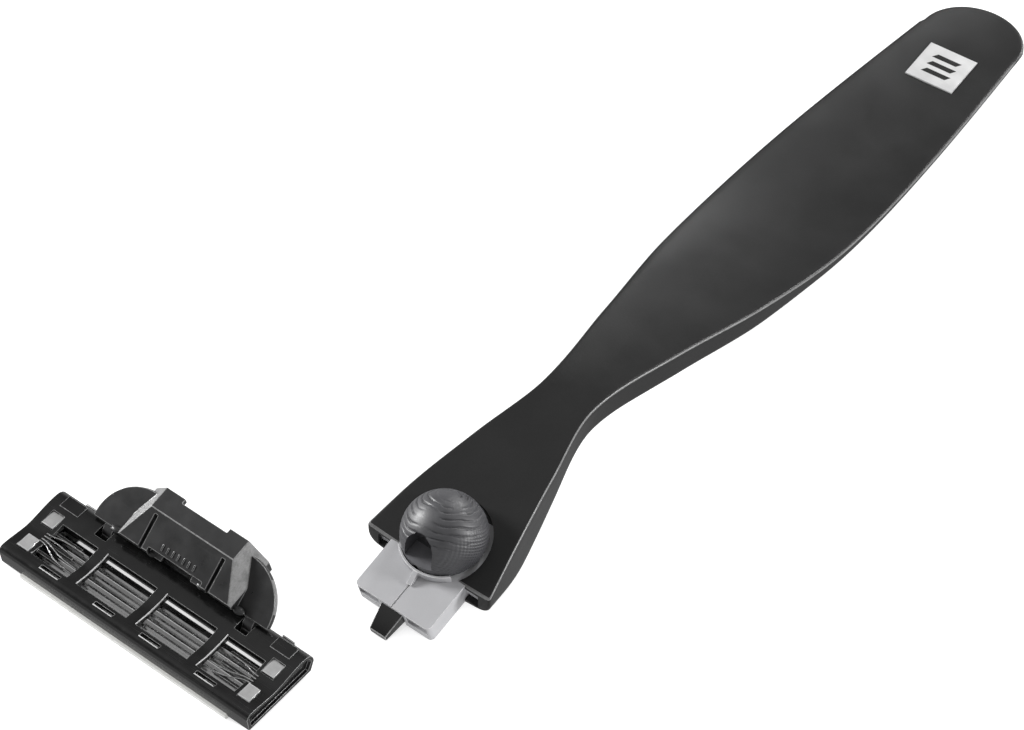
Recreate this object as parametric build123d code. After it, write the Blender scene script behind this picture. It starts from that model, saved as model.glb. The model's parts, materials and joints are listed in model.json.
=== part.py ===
"""Cartridge razor, laid out unclipped: a one-piece handle with its docking head, and the three-blade
cartridge lying blade side down beside it.

Axes: +X to the side, +Y from the docking head to the handle's far end, +Z up. The table is Z = 0 and
the origin is the middle of the layout's footprint. Everything is modelled round the head datum (top
edge of the head's front face, on the handle's centre line) and moved to the row frame on export.
"""
from build123d import *
import math
import os

# ---------------------------------------------------------------- row frame
HEAD_X = 17.80                # head datum in the row frame
HEAD_Y = -51.45
HEAD_Z = 5.50

# ---------------------------------------------------------------- handle
HANDLE_LENGTH = 134.9
STATION_PITCH = 6.5           # spacing of the loft sections
# (distance from the head, value) of the half width, top height, side wall height and underside height
HALF_WIDTH = [(0, 10.25), (8, 8.65), (18, 6.5), (29.5, 4.3), (46, 6.6),
              (62, 9.3), (80, 10.7), (101, 10.15), (136, 7.3)]
TOP_Z = [(0, 0.2), (8, 2.9), (18, 4.9), (28.5, 6.3), (40, 5.45),
         (60, 2.35), (78, -0.3), (100, -1.2), (136, -1.7)]
WALL = [(0, 2.9), (7.5, 6.7), (13, 6.5), (23.5, 4.2), (40, 4.15),
        (59, 3.4), (73, 1.9), (95, 1.1), (136, 0.8)]
BELLY_Z = [(0, -3.9), (7, -4.87), (17.9, -2.7), (29.5, 0.7), (46, -1.3),
           (66, -3.6), (90, -4.9), (114, -5.4), (136, -3.4)]
# sag of the top as a share of its half width
TOP_HOLLOW = [(0, 0.03), (30, 0.03), (60, 0.055), (100, 0.055), (136, 0.05)]
MIN_BOW = 0.3                 # the underside is at least this far below the side walls
NOSE_RADIUS = 8.1
NOSE_X = 0.25

LABEL_SIDE = 7.9
LABEL_Y = 119.6
LABEL_TOP_Z = -1.70
LABEL_THICK = 0.5
LABEL_TURN = 4.0              # the plate is set a little askew, degrees
LABEL_GAP = 0.02

# ---------------------------------------------------------------- docking head
AXIS_TILT = 12.8              # docking axis above the table, degrees
CONN_TOP_Z = -0.10            # connector's top plane at the head's front face
CONN_HALF_W = 6.15
CONN_FRONT = -7.6
CONN_BACK = 9.0
CONN_THICK = 3.2
CONN_CORNER_R = 0.7
FLANGE_HALF_W = 8.3
FLANGE_A = (0.25, 1.1)
FLANGE_N = (-2.5, -0.5)
BARB_OUT = 0.35
BARB_A = (6.6, 7.6)
BARB_N = (-2.0, -1.0)
FIT = 0.05                    # sliding clearance in the docking head
GROOVE_HALF_W = 0.12          # guide groove along the middle of the connector's top
GROOVE_BACK_A = -1.7
LIP_SLOT_X = (2.3, 5.7)       # wide mouth of each prong slot, under the thin top lip
LIP_SLOT_N = (-1.85, -0.45)
LIP_SLOT_DEPTH = 1.2

PLUNGER_HALF_W = 1.8
PLUNGER_N = (-2.40, -0.65)
PLUNGER_BACK = -2.5
PLUNGER_TIP_A = -11.0
PLUNGER_TIP_HALF_W = 1.3
PLUNGER_TIP_N = (-2.75, -1.85)
PLUNGER_EAR_HALF_W = 2.2
PLUNGER_EAR_A = (-4.8, -3.6)
PLUNGER_SEAT_A = (1.7, 2.2)
MOUTH_RELIEF_A = -5.05        # the channel's floor is open in front of this, for the plunger's drooping tip

PRONG_X = (2.85, 5.20)
PRONG_TIP_A = -7.0
FORK_BRIDGE_A = (6.4, 8.0)
FORK_N = (-1.80, -0.65)
PEG_HALF_W = 1.2
PEG_A = (6.8, 7.8)
PEG_TOP_N = 2.2
BUTTON_TRAVEL = 4.0

DOME_R = 5.8
DOME_A = 4.0
DOME_N = 1.86
DOME_FLOOR_N = 0.75
DOME_NECK_R = 4.7
DOME_NECK_N = 0.40
SCOOP_HALF_W = 2.2            # arched hollow in the front of the ball
SCOOP_FLOOR_N = 2.3
SCOOP_SPRING_N = 4.4
SCOOP_END_A = 2.3
TUNNEL_R = 0.75               # bore for the return spring, under the hollow
TUNNEL_N = 1.25
TUNNEL_END_A = 6.2
WELL_R = 6.3
CARRIAGE_N = (0.05, 0.38)     # carriage plate under the ball
COLLAR_R = (5.9, 6.2)
COLLAR_TOP_N = 1.3
COLLAR_BACK_A = -0.35
RIB_A = (-3.9, -2.0)
RIB_HALF_W = 0.35
RIB_FRONT_N = 0.25
POST_A = (-1.55, -0.95)
POST_HALF_W = 0.3
POST_TOP_N = 1.65

# ---------------------------------------------------------------- cartridge
CART_X = -24.7                # cartridge's middle, beside the handle's centre line
FACE_Z = -5.5                 # blade side, on the table
HOUSING_HALF_L = 21.6
HOUSING_FRONT_Y = (-31.6, -31.8)   # front wall at its foot and at its top
HOUSING_BACK_Y = -19.75       # back of the blade side, under the bulge
HOUSING_FACE_Z = -5.0
FRONT_WALL_TOP_Z = -2.75
FRONT_RAIL = (-30.9, -2.0)    # crest of the front rail
DIP = (-26.6, -2.4)           # lowest point between the rails
PIVOT_Y = -20.8
PIVOT_Z = -3.4
BULGE_R = 1.75
END_RIM = 0.5                 # width of the rim round the recessed end panels
END_PANEL_DEPTH = 0.5
BAR_PITCH = 10.4
BAR_W = 1.85
WINDOW_Y = (-29.7, -23.75)
WINDOW_END_X = 17.6
CAVITY_Y = (-29.0, -22.85)
CAVITY_HALF_L = 19.6
CAVITY_TOP_Z = -2.95
POCKET_X = (13.5, 4.0)
POCKET_Y = (-30.9, -30.2)
POCKET_L = 3.3
POCKET_FLOOR_Z = -2.7
FINGER_L = 4.6
FINGER_W = 0.45
FINGER_OFFSET = 0.08
FINGER_Z = (-2.9, -2.5)

BLADE_Y = (-28.75, -27.0, -25.25)
BLADE_HALF_L = 19.2
BLADE_ROOT_Z = -4.45
BLADE_SLOPE = 19.0
SUPPORT_GAUGE = 0.3
SUPPORT_LEG_TOP_Z = -3.25
SUPPORT_REACH = 1.2
BLADE_GAUGE = 0.12
BLADE_FROM = 0.15
BLADE_TO = 2.15
BEVEL_FROM = 1.90

CLIP_X = 19.2
CLIP_HALF_W = 0.95
CLIP_GAUGE = 0.25
CLIP_LEG_Y = (-29.75, -22.85)
CLIP_TAB_L = 2.25
CLIP_TAB_Z = -2.0
CLIP_WRAP_Y = -18.70
CLIP_WRAP_TOP_Z = -2.9
CLIP_WRAP_X = (-3.0, -1.0)    # the wrap stands inboard of the legs
CLIP_PLAY = 0.05

GUARD_Y = (-22.45, -20.0)
GUARD_HALF_L = 16.0
GUARD_BASE_Z = (-5.0, -4.5)
FIN_COUNT = 5
FIN_W = 0.25
LUBE_Y = (-32.0, -29.95)
LUBE_HALF_L = 17.9
LUBE_TOP_Z = -4.65
LUBE_EDGE_R = 0.35
SEAT_PLAY = 0.02

# ---------------------------------------------------------------- yoke
PLATE_TILT = 40.0
PLATE_Y = -20.5
PLATE_Z = -1.0
PLATE_GAUGE = 0.9
LOBE_X = 8.4
LOBE_S = 0.3
LOBE_R = 6.65
SOCKET_HALF_W = 9.8
SOCKET_ROOF_HALF_W = 7.1
SOCKET_RIDGE_N = -1.9
SOCKET_ROOF_N = 0.95
# side view of the socket block, (y, z) round from the mouth's top edge
SOCKET_SIDE = [(-14.3, 4.85), (-17.4, 4.1), (-21.5, 0.55), (-21.3, -0.35),
               (-20.2, -0.75), (-18.6, -1.15), (-13.3, -0.05)]
MOUTH_Y = -13.4
MOUTH_Z = 4.0
MOUTH_DEPTH = 5.0
SOCKET_IN_HALF_W = 6.3
SOCKET_IN_N = (-3.3, 0.06)
SLIT_X = 5.8
SLIT_W = 0.55
TONGUE_HALF_W = 4.6           # the tongue between the slits stops short of the side facets
TONGUE_CUT_S = 0.85
TONGUE_CUT_N = 0.9
NOTCH_HALF_W = 3.85
NOTCH_DEPTH = 1.4
PASSAGE_HALF_W = 2.5
PASSAGE_N = (-3.1, -1.6)
PASSAGE_END_A = -12.0
ARM_X = 12.2
ARM_HALF_W = 0.8
ARM_SLOT_HALF_W = 1.0
ARM_SLOT_FRONT = 1.65         # reach of the slot in front of the pivot
ARM_END_R = 0.95
# side view of an arm, (y, z) round from the front of its root at the pivot
ARM_SIDE = [(-21.55, -3.4), (-21.1, -1.75), (-20.5, -1.1), (-19.9, -0.75), (-19.55, -1.6), (-20.05, -3.4)]
PIN_R = 0.60
PIN_BORE_R = 0.65
PIN_HALF_L = 1.7

# docking-axis frames: local x = X, local y = back along the axis, local z = out of the connector's top
TILT = math.radians(AXIS_TILT)
AXIS_UP = (0, -math.sin(TILT), math.cos(TILT))
DOCK = Plane(origin=(0, 0, CONN_TOP_Z), x_dir=(1, 0, 0), z_dir=AXIS_UP).location
MOUTH = Plane(origin=(CART_X, MOUTH_Y, MOUTH_Z), x_dir=(1, 0, 0), z_dir=AXIS_UP).location
PLATE_RAD = math.radians(PLATE_TILT)
PLATE_UP = (0, -math.sin(PLATE_RAD), math.cos(PLATE_RAD))
PLATE = Plane(origin=(CART_X, PLATE_Y, PLATE_Z), x_dir=(1, 0, 0), z_dir=PLATE_UP).location
LABEL_PLACE = Pos(0, LABEL_Y, 0) * Rot(0, 0, LABEL_TURN)
FAR = 60.0                    # oversize length for cutting tools


def block(x, y, z):
    """Box between two limits on each axis."""
    size = (x[1] - x[0], y[1] - y[0], z[1] - z[0])
    middle = ((x[0] + x[1]) / 2, (y[0] + y[1]) / 2, (z[0] + z[1]) / 2)
    return Pos(*middle) * Box(*size)


def sym_block(half, y, z):
    """Box symmetric about X = 0."""
    return block((-half, half), y, z)


def side_prism(points, half):
    """Outline in the Y-Z plane, extruded both ways along X."""
    face = make_face(Polyline(*points, close=True))
    return extrude(Plane.YZ * face, amount=half, both=True)


def smooth(table, y):
    """Value at y on a smooth curve through the (y, value) pairs of a table."""
    last = len(table) - 1
    i = min(max(sum(1 for row in table if row[0] <= y) - 1, 0), last - 1)
    y0, v0 = table[i]
    y1, v1 = table[i + 1]
    before = table[max(i - 1, 0)]
    after = table[min(i + 2, last)]
    m0 = (v1 - before[1]) / (y1 - before[0]) * (y1 - y0)
    m1 = (after[1] - v0) / (after[0] - y0) * (y1 - y0)
    t = (y - y0) / (y1 - y0)
    keep0 = 2 * t**3 - 3 * t**2 + 1
    keep1 = 3 * t**2 - 2 * t**3
    return keep0 * v0 + (t**3 - 2 * t**2 + t) * m0 + keep1 * v1 + (t**3 - t**2) * m1


# ---------------------------------------------------------------- handle side
def handle_section(y):
    """D-shaped section: shallow hollow top, upright sides, bowed underside."""
    half = smooth(HALF_WIDTH, y)
    top = smooth(TOP_Z, y)
    side = top - smooth(WALL, y)
    belly = min(smooth(BELLY_Z, y), side - MIN_BOW)
    dip = top - smooth(TOP_HOLLOW, y) * half
    edges = [
        ThreePointArc((-half, y, top), (0, y, dip), (half, y, top)),
        Line((half, y, top), (half, y, side)),
        ThreePointArc((half, y, side), (0, y, belly), (-half, y, side)),
        Line((-half, y, side), (-half, y, top)),
    ]
    return make_face(Wire(edges))


def handle_body():
    count = round(HANDLE_LENGTH / STATION_PITCH) + 1
    overrun = 0.4             # the loft runs past the nose, which trims it
    stations = [i * (HANDLE_LENGTH + overrun) / (count - 1) for i in range(count)]
    body = loft([handle_section(y) for y in stations])
    nose_y = HANDLE_LENGTH - NOSE_RADIUS
    plan = Rectangle(FAR, nose_y + FAR, align=(Align.CENTER, Align.MAX))
    plan = Pos(0, nose_y) * plan + Pos(NOSE_X, nose_y) * Circle(NOSE_RADIUS)
    body = body & extrude(plan, amount=FAR / 2, both=True)
    pocket = sym_block(CONN_HALF_W + FIT, (-FAR, CONN_BACK + FIT), (-CONN_THICK - FIT, 0))
    flange_n = (FLANGE_N[0] - FIT, FLANGE_N[1] + FIT)
    pocket += sym_block(FLANGE_HALF_W + FIT, (-FAR, FLANGE_A[1] + FIT), flange_n)
    barb_n = (BARB_N[0] - FIT, BARB_N[1] + FIT)
    pocket += sym_block(CONN_HALF_W + BARB_OUT + FIT, (BARB_A[0] - FIT, BARB_A[1] + FIT), barb_n)
    well = Pos(0, DOME_A, 0) * Cylinder(WELL_R, FAR, align=(Align.CENTER, Align.CENTER, Align.MIN))
    body = body - DOCK * pocket - DOCK * well
    half = LABEL_SIDE / 2
    recess = sym_block(half, (-half, half), (LABEL_TOP_Z - LABEL_THICK, FAR))
    return body - LABEL_PLACE * recess


def label_plate():
    half = LABEL_SIDE / 2 - LABEL_GAP
    plate = sym_block(half, (-half, half), (LABEL_TOP_Z - LABEL_THICK, LABEL_TOP_Z))
    plate = chamfer(plate.faces().sort_by(Axis.Z)[-1].edges(), 0.08)
    return LABEL_PLACE * plate


def connector():
    nose = sym_block(CONN_HALF_W, (CONN_FRONT, CONN_BACK), (-CONN_THICK, 0))
    front = nose.edges().filter_by(Axis.Z).group_by(Axis.Y)[0]
    body = fillet(front, CONN_CORNER_R)
    body += sym_block(FLANGE_HALF_W, FLANGE_A, FLANGE_N)
    barb = side_barb()
    body = body + barb + mirror(barb, Plane.YZ)
    # plunger channel, narrow at the mouth, closed by the spring seat at the back
    channel_n = (PLUNGER_N[0] - FIT, PLUNGER_N[1] + FIT)
    body -= sym_block(PLUNGER_HALF_W + FIT, (-FAR, PLUNGER_SEAT_A[0]), channel_n)
    body -= sym_block(PLUNGER_EAR_HALF_W + FIT, (PLUNGER_EAR_A[0] - FIT, PLUNGER_SEAT_A[0]), channel_n)
    body -= sym_block(PLUNGER_HALF_W + FIT, (-FAR, MOUTH_RELIEF_A), (-FAR, channel_n[1]))
    # fork space: bridge bay behind the seat, two prong slots open at the front
    fork_n = (FORK_N[0] - FIT, FORK_N[1] + FIT)
    bay_back = FORK_BRIDGE_A[1] + 0.2
    body -= sym_block(PRONG_X[1] + FIT, (PLUNGER_SEAT_A[1], bay_back), fork_n)
    slot = block((PRONG_X[0] - FIT, PRONG_X[1] + FIT), (-FAR, bay_back), fork_n)
    slot += block(LIP_SLOT_X, (-FAR, CONN_FRONT + LIP_SLOT_DEPTH), LIP_SLOT_N)
    body = body - slot - mirror(slot, Plane.YZ)
    body -= sym_block(PEG_HALF_W + 0.1, (PEG_A[0] - BUTTON_TRAVEL - 0.2, PEG_A[1] + 0.2), (-1.0, FAR))
    body -= sym_block(GROOVE_HALF_W, (-FAR, GROOVE_BACK_A), (-GROOVE_HALF_W, FAR))
    # the return spring pushes against this post
    post = sym_block(POST_HALF_W, POST_A, (-0.1, POST_TOP_N))
    return DOCK * (body + post)


def side_barb():
    """Wedge that snaps into the handle's recess, on the right side."""
    outline = [(CONN_HALF_W - 0.1, BARB_A[0]), (CONN_HALF_W + BARB_OUT, BARB_A[0]),
               (CONN_HALF_W + 0.05, BARB_A[1]), (CONN_HALF_W - 0.1, BARB_A[1])]
    face = make_face(Polyline(*outline, close=True))
    return Pos(0, 0, BARB_N[0]) * extrude(face, amount=BARB_N[1] - BARB_N[0])


def thumb_button():
    ball = Pos(0, DOME_A, DOME_N) * Sphere(DOME_R)
    dome = ball & sym_block(FAR, (-FAR, FAR), (DOME_FLOOR_N, FAR))
    neck_h = DOME_FLOOR_N - DOME_NECK_N + 0.1
    dome += Pos(0, DOME_A, DOME_NECK_N + neck_h / 2) * Cylinder(DOME_NECK_R, neck_h)
    scoop = sym_block(SCOOP_HALF_W, (-FAR, SCOOP_END_A), (SCOOP_FLOOR_N, SCOOP_SPRING_N))
    scoop += bore_to(SCOOP_END_A, SCOOP_SPRING_N, SCOOP_HALF_W)
    peg_hole = sym_block(PEG_HALF_W, PEG_A, (-1, PEG_TOP_N))
    post_path = sym_block(POST_HALF_W + 0.1, (-FAR, POST_A[1] + BUTTON_TRAVEL + 0.2), (-1, TUNNEL_N))
    return DOCK * (dome - scoop - bore_to(TUNNEL_END_A, TUNNEL_N, TUNNEL_R) - peg_hole - post_path)


def bore_to(end_a, n, radius):
    """Round bore that comes in along the docking axis from the front and ends at end_a."""
    end_up = (Align.CENTER, Align.CENTER, Align.MIN)
    return Pos(0, end_a, n) * Rot(90, 0, 0) * Cylinder(radius, FAR, align=end_up)


def ejector_fork():
    """Two prongs and a peg inside the connector; above it the carriage plate with its collar and rib."""
    fork = sym_block(PRONG_X[1], FORK_BRIDGE_A, FORK_N)
    prong = block(PRONG_X, (PRONG_TIP_A, FORK_BRIDGE_A[1]), FORK_N)
    fork = fork + prong + mirror(prong, Plane.YZ)
    fork += sym_block(PEG_HALF_W, PEG_A, (FORK_N[1] - 0.1, PEG_TOP_N))
    low, high = CARRIAGE_N
    on_base = (Align.CENTER, Align.CENTER, Align.MIN)
    plate = Pos(0, DOME_A, low) * Cylinder(DOME_NECK_R, high - low, align=on_base)
    post_slot = sym_block(POST_HALF_W + 0.1, (POST_A[0] - 0.1, POST_A[1] + BUTTON_TRAVEL + 0.1), (-1, FAR))
    tall = COLLAR_TOP_N - low
    ring = Cylinder(COLLAR_R[1], tall, align=on_base) - Cylinder(COLLAR_R[0], tall, align=on_base)
    floor = Cylinder(COLLAR_R[1], high - low, align=on_base)
    collar = Pos(0, DOME_A, low) * (ring + floor) & sym_block(FAR, (-FAR, COLLAR_BACK_A), (0, FAR))
    rib = side_prism([(RIB_A[0], low), (RIB_A[1], low), (RIB_A[1], COLLAR_TOP_N), (RIB_A[0], RIB_FRONT_N)],
                     RIB_HALF_W)
    return DOCK * (fork + (plate + collar + rib - post_slot))


def plunger():
    body = sym_block(PLUNGER_HALF_W, (CONN_FRONT, PLUNGER_BACK), PLUNGER_N)
    body += sym_block(PLUNGER_EAR_HALF_W, PLUNGER_EAR_A, PLUNGER_N)
    root = Plane(origin=(0, CONN_FRONT, 0), x_dir=(1, 0, 0), z_dir=(0, -1, 0))
    tip = Plane(origin=(0, PLUNGER_TIP_A, 0), x_dir=(1, 0, 0), z_dir=(0, -1, 0))
    root_h = PLUNGER_N[1] - PLUNGER_N[0]
    tip_h = PLUNGER_TIP_N[1] - PLUNGER_TIP_N[0]
    root_mid = sum(PLUNGER_N) / 2
    tip_mid = sum(PLUNGER_TIP_N) / 2
    root_face = root * Pos(0, root_mid) * Rectangle(2 * PLUNGER_HALF_W, root_h)
    tip_face = tip * Pos(0, tip_mid) * Rectangle(2 * PLUNGER_TIP_HALF_W, tip_h)
    return DOCK * (body + loft([root_face, tip_face]))


def coil(mean_r, wire_r, length, turns):
    """Open coil spring along +Y from the origin."""
    path = Helix(pitch=(length - 2 * wire_r) / turns, height=length - 2 * wire_r, radius=mean_r)
    start = Plane(origin=path @ 0, z_dir=path % 0)
    spring = sweep(start * Circle(wire_r), path=path)
    return Rot(-90, 0, 0) * Pos(0, 0, wire_r) * spring


def button_spring():
    gap = 0.02
    length = TUNNEL_END_A - POST_A[1] - 2 * gap
    return DOCK * Pos(0, POST_A[1] + gap, TUNNEL_N) * coil(0.55, 0.12, length, 9)


def plunger_spring():
    gap = 0.02
    middle = (PLUNGER_N[0] + PLUNGER_N[1]) / 2
    length = PLUNGER_SEAT_A[0] - PLUNGER_BACK - 2 * gap
    return DOCK * Pos(0, PLUNGER_BACK + gap, middle) * coil(0.70, 0.12, length, 5)


# ---------------------------------------------------------------- cartridge
def housing_outline(inset=0.0):
    """Bone-shaped end view: a round rail at each long side, a dip between them, flat blade side."""
    foot, wall_top = [y + inset for y in HOUSING_FRONT_Y]
    face_z = HOUSING_FACE_Z + inset
    radius = BULGE_R - inset
    diagonal = radius * math.sqrt(0.5)
    rail = (FRONT_RAIL[0], FRONT_RAIL[1] - inset)
    crest = (PIVOT_Y, PIVOT_Z + radius)
    bulge_corner = (PIVOT_Y + diagonal, PIVOT_Z + diagonal)
    bulge_back = (PIVOT_Y + radius, PIVOT_Z)
    back_foot = (HOUSING_BACK_Y - inset, face_z)
    rise = rail[1] - FRONT_WALL_TOP_Z
    rail_r = ((rail[0] - wall_top) ** 2 + rise ** 2) / (2 * rise)
    rail_shoulder = (rail[0] - rail_r * math.sqrt(0.5), rail[1] - rail_r * (1 - math.sqrt(0.5)))
    edges = [
        Line((foot, face_z), (wall_top, FRONT_WALL_TOP_Z)),
        ThreePointArc((wall_top, FRONT_WALL_TOP_Z), rail_shoulder, rail),
        Spline(rail, (DIP[0], DIP[1] - inset), crest, tangents=[(1, 0), (1, 0)]),
        ThreePointArc(crest, bulge_corner, bulge_back),
        Line(bulge_back, back_foot),
        Line(back_foot, (foot, face_z)),
    ]
    return make_face(Wire(edges))


def housing():
    outline = housing_outline()
    body = extrude(Plane.YZ * outline, amount=HOUSING_HALF_L, both=True)
    # blade bay, open at the blade side, and the windows behind it
    body -= sym_block(CAVITY_HALF_L, CAVITY_Y, (-FAR, CAVITY_TOP_Z))
    middle = block((BAR_W / 2, BAR_PITCH - BAR_W / 2), WINDOW_Y, (-FAR, FAR))
    outer = block((BAR_PITCH + BAR_W / 2, WINDOW_END_X), WINDOW_Y, (-FAR, FAR))
    for window in (middle, outer):
        body = body - window - mirror(window, Plane.YZ)
    # shallow pockets along the front rail
    for x in POCKET_X:
        pocket = block((x - POCKET_L / 2, x + POCKET_L / 2), POCKET_Y, (POCKET_FLOOR_Z, FAR))
        body = body - pocket - mirror(pocket, Plane.YZ)
    # recessed panel in each end
    panel = Plane.YZ * housing_outline(END_RIM)
    dish = extrude(panel, amount=2 * END_PANEL_DEPTH, dir=(1, 0, 0), both=True)
    middle_x = HOUSING_HALF_L + END_PANEL_DEPTH
    body = body - Pos(middle_x, 0, 0) * dish - Pos(-middle_x, 0, 0) * dish
    # clip slots and the flats its tabs lie on
    side = (CLIP_X - CLIP_HALF_W - CLIP_PLAY, CLIP_X + CLIP_HALF_W + CLIP_PLAY)
    legs = (CLIP_LEG_Y[0] - CLIP_PLAY, CLIP_LEG_Y[1] + CLIP_PLAY)
    leg_slot = CLIP_GAUGE + 3 * CLIP_PLAY
    tab_seat = CLIP_TAB_L + 4 * CLIP_PLAY
    cut = block(side, (legs[0], legs[0] + leg_slot), (-FAR, FAR))
    cut += block(side, (legs[1] - leg_slot, legs[1]), (-FAR, FAR))
    tab_floor = CLIP_TAB_Z - CLIP_GAUGE - 0.03
    cut += block(side, (legs[0], legs[0] + tab_seat), (tab_floor, FAR))
    cut += block(side, (legs[1] - tab_seat, legs[1]), (tab_floor, FAR))
    # slots and pin bores for the yoke's two arms
    across = (ARM_X - ARM_SLOT_HALF_W, ARM_X + ARM_SLOT_HALF_W)
    slot = block(across, (PIVOT_Y - ARM_SLOT_FRONT, PIVOT_Y + BULGE_R + 1), (PIVOT_Z - ARM_END_R - 0.1, 0))
    slot += Pos(ARM_X, PIVOT_Y, PIVOT_Z) * Rot(0, 90, 0) * Cylinder(PIN_BORE_R, 2 * PIN_HALF_L + 0.2)
    cut += slot
    body = body - cut - mirror(cut, Plane.YZ)
    # recesses for the rubber guard and the lubricating strip
    guard_y = (GUARD_Y[0] - SEAT_PLAY, GUARD_Y[1] + SEAT_PLAY)
    body -= sym_block(GUARD_HALF_L + SEAT_PLAY, guard_y, (-FAR, GUARD_BASE_Z[1]))
    body -= sym_block(LUBE_HALF_L + SEAT_PLAY, (-FAR, LUBE_Y[1] + SEAT_PLAY), (-FAR, LUBE_TOP_Z))
    # spring fingers that press on the blade supports
    for y in BLADE_Y:
        across = (y - FINGER_OFFSET, y - FINGER_OFFSET + FINGER_W)
        finger = block((WINDOW_END_X - FINGER_L, WINDOW_END_X + 0.2), across, FINGER_Z)
        body = body + finger + mirror(finger, Plane.YZ)
    return Pos(CART_X, 0, 0) * body


def blade_points(root_y, steps):
    """Points given as (along the blade's slope, out of its face) from the support's heel."""
    slope = math.radians(BLADE_SLOPE)
    along = (math.cos(slope), -math.sin(slope))
    out = (math.sin(slope), math.cos(slope))
    return [(root_y + d * along[0] + m * out[0], BLADE_ROOT_Z + d * along[1] + m * out[1]) for d, m in steps]


def blade_support(root_y):
    """Bent steel bar: upright leg and a sloping platform that carries the blade."""
    heel, toe, toe_top = blade_points(root_y, [(0, 0), (SUPPORT_REACH, 0), (SUPPORT_REACH, SUPPORT_GAUGE)])
    inner_y = root_y + SUPPORT_GAUGE
    slope = math.radians(BLADE_SLOPE)
    inner_z = toe_top[1] + (toe_top[0] - inner_y) * math.tan(slope)
    outline = [heel, toe, toe_top, (inner_y, inner_z),
               (inner_y, SUPPORT_LEG_TOP_Z), (root_y, SUPPORT_LEG_TOP_Z)]
    return Pos(CART_X, 0, 0) * side_prism(outline, BLADE_HALF_L)


def blade(root_y):
    steps = [(BLADE_FROM, 0), (BLADE_TO, 0), (BEVEL_FROM, -BLADE_GAUGE), (BLADE_FROM, -BLADE_GAUGE)]
    return Pos(CART_X, 0, 0) * side_prism(blade_points(root_y, steps), BLADE_HALF_L)


def clip():
    """Right-hand aluminium clip: runs over the blade ends, legs through the housing, tabs bent over."""
    side = (-CLIP_HALF_W, CLIP_HALF_W)
    low, high = CLIP_LEG_Y
    run = block((CLIP_WRAP_X[0], CLIP_HALF_W), (low, CLIP_WRAP_Y), (FACE_Z, FACE_Z + CLIP_GAUGE))
    leg_front = block(side, (low, low + CLIP_GAUGE), (FACE_Z, CLIP_TAB_Z))
    leg_back = block(side, (high - CLIP_GAUGE, high), (FACE_Z, CLIP_TAB_Z))
    tab_z = (CLIP_TAB_Z - CLIP_GAUGE, CLIP_TAB_Z)
    tab_front = block(side, (low, low + CLIP_TAB_L), tab_z)
    tab_back = block(side, (high - CLIP_TAB_L, high), tab_z)
    wrap = block(CLIP_WRAP_X, (CLIP_WRAP_Y - CLIP_GAUGE, CLIP_WRAP_Y), (FACE_Z, CLIP_WRAP_TOP_Z))
    return run + leg_front + leg_back + tab_front + tab_back + wrap


def rubber_guard():
    strip = sym_block(GUARD_HALF_L, GUARD_Y, GUARD_BASE_Z)
    pitch = (GUARD_Y[1] - GUARD_Y[0] - FIN_W) / (FIN_COUNT - 1)
    for i in range(FIN_COUNT):
        y = GUARD_Y[0] + i * pitch
        strip += sym_block(GUARD_HALF_L, (y, y + FIN_W), (FACE_Z, GUARD_BASE_Z[0] + 0.05))
    return Pos(CART_X, 0, 0) * strip


def lubricating_strip():
    strip = sym_block(LUBE_HALF_L, LUBE_Y, (FACE_Z, LUBE_TOP_Z))
    long_edges = strip.faces().sort_by(Axis.Z)[0].edges().filter_by(Axis.X)
    return Pos(CART_X, 0, 0) * fillet(long_edges, LUBE_EDGE_R)


# ---------------------------------------------------------------- yoke
def yoke():
    # wing plate
    lobe = Pos(LOBE_X, LOBE_S, 0) * Circle(LOBE_R)
    wings = lobe + mirror(lobe, Plane.YZ)
    wings += Pos(0, LOBE_S + LOBE_R / 2) * Rectangle(2 * LOBE_X, LOBE_R)
    wings = wings & Pos(0, FAR / 2) * Rectangle(2 * FAR, FAR)
    plate = PLATE * extrude(wings, amount=-PLATE_GAUGE)
    # socket block
    core = Pos(CART_X, 0, 0) * side_prism(SOCKET_SIDE, SOCKET_HALF_W)
    ridge = [(-SOCKET_HALF_W, -FAR), (SOCKET_HALF_W, -FAR), (SOCKET_HALF_W, SOCKET_RIDGE_N),
             (SOCKET_ROOF_HALF_W, SOCKET_ROOF_N), (-SOCKET_ROOF_HALF_W, SOCKET_ROOF_N),
             (-SOCKET_HALF_W, SOCKET_RIDGE_N)]
    tunnel = extrude(Plane.XZ * make_face(Polyline(*ridge, close=True)), amount=FAR, both=True)
    core = core & MOUTH * tunnel
    core -= PLATE * sym_block(TONGUE_HALF_W, (-FAR, TONGUE_CUT_S), (TONGUE_CUT_N, FAR))
    body = core + plate
    # socket, snap tongue slits, button notch and plunger passage
    inside = sym_block(SOCKET_IN_HALF_W, (-MOUTH_DEPTH, FAR / 3), SOCKET_IN_N)
    inside += sym_block(NOTCH_HALF_W, (-NOTCH_DEPTH, FAR / 3), (SOCKET_IN_N[1] - 0.1, FAR / 3))
    inside += sym_block(PASSAGE_HALF_W, (PASSAGE_END_A, -MOUTH_DEPTH + 0.1), PASSAGE_N)
    body -= MOUTH * inside
    slit = block((SLIT_X - SLIT_W / 2, SLIT_X + SLIT_W / 2), (-2.0, 5.0), (0.9, FAR / 3))
    body = body - PLATE * slit - PLATE * mirror(slit, Plane.YZ)
    # pivot arms
    arm = side_prism(ARM_SIDE, ARM_HALF_W)
    arm += Pos(0, PIVOT_Y, PIVOT_Z) * Rot(0, 90, 0) * Cylinder(ARM_END_R, 2 * ARM_HALF_W)
    arm += Pos(0, PIVOT_Y, PIVOT_Z) * Rot(0, 90, 0) * Cylinder(PIN_R, 2 * PIN_HALF_L)
    return body + Pos(CART_X + ARM_X, 0, 0) * arm + Pos(CART_X - ARM_X, 0, 0) * arm


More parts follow.
